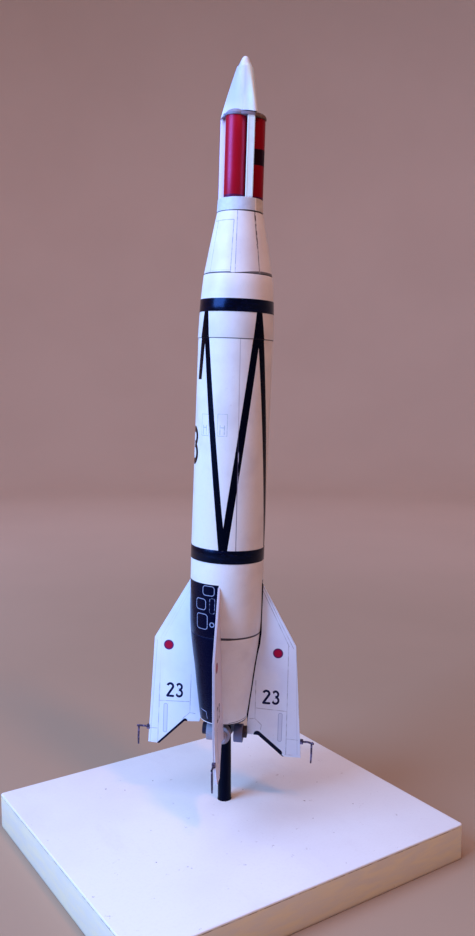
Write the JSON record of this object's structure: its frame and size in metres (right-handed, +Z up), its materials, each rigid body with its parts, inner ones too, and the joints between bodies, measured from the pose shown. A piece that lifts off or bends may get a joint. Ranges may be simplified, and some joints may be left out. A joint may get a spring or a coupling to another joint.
{
  "type": "rocket display model",
  "caption": "Card display model of a finned research rocket with a tube cluster below its nose, held upright by a black rod on a white board.",
  "frame": {"origin": "centre of the board's underside", "axes": "+Z up along the rod, X along the board's long side, Y along its short side"},
  "size_m": [0.16, 0.14, 0.3464],
  "materials": {
    "board_white": "white faced board",
    "rod_black": "painted black, satin",
    "card_white": "printed card, white",
    "card_tail": "printed card, white with dark quarters",
    "card_fin": "laminated card, white",
    "tube_red": "printed card, crimson, slightly glossy",
    "cap_grey": "grey card",
    "vane_grey": "grey card",
    "hub_brown": "dark brown card",
    "wire_dark": "dark wire"
  },
  "bodies": {
    "root": {"base_board": "board_white", "display_rod": "rod_black", "tail_cone": "card_tail", "tail_tube": "card_tail", "main_tube": "card_white", "shoulder_ring": "card_white", "transition_cone": "card_white", "collar": "card_white", "motor_tube_1": "tube_red", "motor_tube_2": "tube_red", "motor_tube_3": "tube_red", "frame_bar_1": "card_white", "frame_bar_2": "card_white", "frame_bar_3": "card_white", "tube_cap_1": "cap_grey", "tube_cap_2": "cap_grey", "tube_cap_3": "cap_grey", "nose_cone": "card_white", "nose_tip": "card_white", "fin_1": "card_fin", "fin_2": "card_fin", "fin_3": "card_fin", "fin_4": "card_fin", "wire_bracket_1": "wire_dark", "wire_bracket_2": "wire_dark", "wire_bracket_3": "wire_dark", "wire_bracket_4": "wire_dark", "tip_wire_1": "wire_dark", "tip_wire_2": "wire_dark", "tip_wire_3": "wire_dark", "tip_wire_4": "wire_dark", "vane_disc_1": "vane_grey", "vane_disc_2": "vane_grey", "vane_disc_3": "vane_grey", "vane_disc_4": "vane_grey", "vane_hub_1": "hub_brown", "vane_hub_2": "hub_brown", "vane_hub_3": "hub_brown", "vane_hub_4": "hub_brown"}
  },
  "joints": []
}
